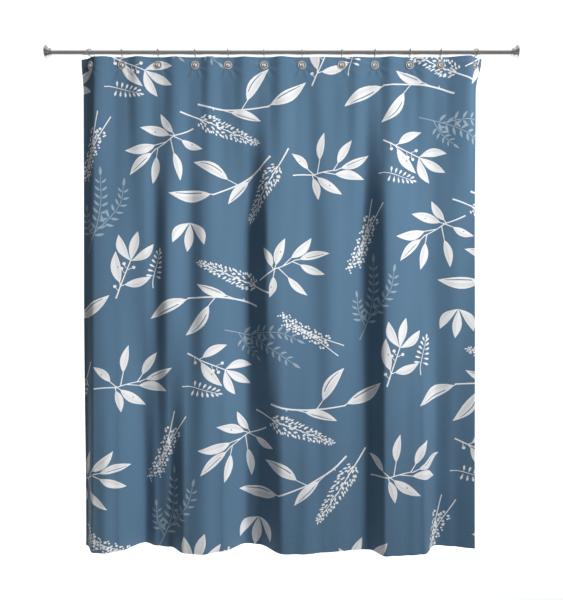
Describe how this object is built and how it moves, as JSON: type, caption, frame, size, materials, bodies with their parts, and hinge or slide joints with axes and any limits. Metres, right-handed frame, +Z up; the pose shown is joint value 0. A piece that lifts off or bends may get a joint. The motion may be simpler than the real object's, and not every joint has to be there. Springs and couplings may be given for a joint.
{
  "type": "shower curtain",
  "caption": "Printed cloth shower curtain with metal eyelets, hung by open wire hooks on a straight metal rod with bell-shaped wall flanges.",
  "frame": {"origin": "centre of the left wall plate's back face, on the rod's axis", "axes": "+X along the rod from the left wall to the right wall, +Y away from the viewer towards the back of the curtain, +Z up"},
  "size_m": [1.795, 0.1235, 1.9247],
  "materials": {
    "tube": "fine brushed, satin",
    "cover": "polished",
    "fittings": "plain satin",
    "fasteners": "plain satin",
    "hook_wire": "polished wire",
    "eyelet_metal": "polished, rolled edges",
    "cloth": "matt polyester weave with a pale leaf print"
  },
  "bodies": {
    "rod": {"rod_tube": "tube", "wall_plate_left": "fittings", "wall_plate_right": "fittings", "set_screw_left": "fasteners", "set_screw_right": "fasteners", "wall_screw_left_1": "fasteners", "wall_screw_left_2": "fasteners", "wall_screw_right_1": "fasteners", "wall_screw_right_2": "fasteners"},
    "cover_left": {"flange_cover_left": "cover"},
    "cover_right": {"flange_cover_right": "cover"},
    "hanger_01": {"hook_01": "hook_wire", "eyelet_01": "eyelet_metal", "eyelet_washer_01": "eyelet_metal", "cloth_01": "cloth"},
    "hanger_02": {"hook_02": "hook_wire", "eyelet_02": "eyelet_metal", "eyelet_washer_02": "eyelet_metal", "cloth_02": "cloth"},
    "hanger_03": {"hook_03": "hook_wire", "eyelet_03": "eyelet_metal", "eyelet_washer_03": "eyelet_metal", "cloth_03": "cloth"},
    "hanger_04": {"hook_04": "hook_wire", "eyelet_04": "eyelet_metal", "eyelet_washer_04": "eyelet_metal", "cloth_04": "cloth"},
    "hanger_05": {"hook_05": "hook_wire", "eyelet_05": "eyelet_metal", "eyelet_washer_05": "eyelet_metal", "cloth_05": "cloth"},
    "hanger_06": {"hook_06": "hook_wire", "eyelet_06": "eyelet_metal", "eyelet_washer_06": "eyelet_metal", "cloth_06": "cloth"},
    "hanger_07": {"hook_07": "hook_wire", "eyelet_07": "eyelet_metal", "eyelet_washer_07": "eyelet_metal", "cloth_07": "cloth"},
    "hanger_08": {"hook_08": "hook_wire", "eyelet_08": "eyelet_metal", "eyelet_washer_08": "eyelet_metal", "cloth_08": "cloth"},
    "hanger_09": {"hook_09": "hook_wire", "eyelet_09": "eyelet_metal", "eyelet_washer_09": "eyelet_metal", "cloth_09": "cloth"},
    "hanger_10": {"hook_10": "hook_wire", "eyelet_10": "eyelet_metal", "eyelet_washer_10": "eyelet_metal", "cloth_10": "cloth"},
    "hanger_11": {"hook_11": "hook_wire", "eyelet_11": "eyelet_metal", "eyelet_washer_11": "eyelet_metal", "cloth_11": "cloth"},
    "hanger_12": {"hook_12": "hook_wire", "eyelet_12": "eyelet_metal", "eyelet_washer_12": "eyelet_metal", "cloth_12": "cloth"}
  },
  "joints": [
    {"name": "cover_left_slide", "type": "slide", "parent": "rod", "child": "cover_left", "axis": [1, 0, 0], "range_m": [0, 0.08]},
    {"name": "cover_right_slide", "type": "slide", "parent": "rod", "child": "cover_right", "axis": [-1, 0, 0], "range_m": [0, 0.08]},
    {"name": "curtain_swing", "type": "hinge", "parent": "rod", "child": "hanger_01", "pos_m": [0.1695, 0, 0], "axis": [1, 0, 0], "range_deg": [-30, 30]},
    {"name": "draw_02", "type": "slide", "parent": "hanger_01", "child": "hanger_02", "axis": [-1, 0, 0], "range_m": [0, 0.0673], "deforming": ["cloth_02", "cloth_01"]},
    {"name": "draw_03", "type": "slide", "parent": "hanger_02", "child": "hanger_03", "axis": [-1, 0, 0], "range_m": [0, 0.0771], "deforming": ["cloth_03"]},
    {"name": "draw_04", "type": "slide", "parent": "hanger_03", "child": "hanger_04", "axis": [-1, 0, 0], "range_m": [0, 0.079], "deforming": ["cloth_04"]},
    {"name": "draw_05", "type": "slide", "parent": "hanger_04", "child": "hanger_05", "axis": [-1, 0, 0], "range_m": [0, 0.0705], "deforming": ["cloth_05"]},
    {"name": "draw_06", "type": "slide", "parent": "hanger_05", "child": "hanger_06", "axis": [-1, 0, 0], "range_m": [0, 0.0768], "deforming": ["cloth_06"]},
    {"name": "draw_07", "type": "slide", "parent": "hanger_06", "child": "hanger_07", "axis": [-1, 0, 0], "range_m": [0, 0.0812], "deforming": ["cloth_07"]},
    {"name": "draw_08", "type": "slide", "parent": "hanger_07", "child": "hanger_08", "axis": [-1, 0, 0], "range_m": [0, 0.0854], "deforming": ["cloth_08"]},
    {"name": "draw_09", "type": "slide", "parent": "hanger_08", "child": "hanger_09", "axis": [-1, 0, 0], "range_m": [0, 0.0704], "deforming": ["cloth_09"]},
    {"name": "draw_10", "type": "slide", "parent": "hanger_09", "child": "hanger_10", "axis": [-1, 0, 0], "range_m": [0, 0.0748], "deforming": ["cloth_10"]},
    {"name": "draw_11", "type": "slide", "parent": "hanger_10", "child": "hanger_11", "axis": [-1, 0, 0], "range_m": [0, 0.0662], "deforming": ["cloth_11"]},
    {"name": "draw_12", "type": "slide", "parent": "hanger_11", "child": "hanger_12", "axis": [-1, 0, 0], "range_m": [0, 0.0731], "deforming": ["cloth_12"]}
  ],
  "couplings": [
    {"joint": "draw_03", "follows": "draw_02", "ratio": 1.1439},
    {"joint": "draw_04", "follows": "draw_02", "ratio": 1.172},
    {"joint": "draw_05", "follows": "draw_02", "ratio": 1.0463},
    {"joint": "draw_06", "follows": "draw_02", "ratio": 1.1402},
    {"joint": "draw_07", "follows": "draw_02", "ratio": 1.2049},
    {"joint": "draw_08", "follows": "draw_02", "ratio": 1.2671},
    {"joint": "draw_09", "follows": "draw_02", "ratio": 1.0451},
    {"joint": "draw_10", "follows": "draw_02", "ratio": 1.1098},
    {"joint": "draw_11", "follows": "draw_02", "ratio": 0.9817},
    {"joint": "draw_12", "follows": "draw_02", "ratio": 1.0841}
  ]
}
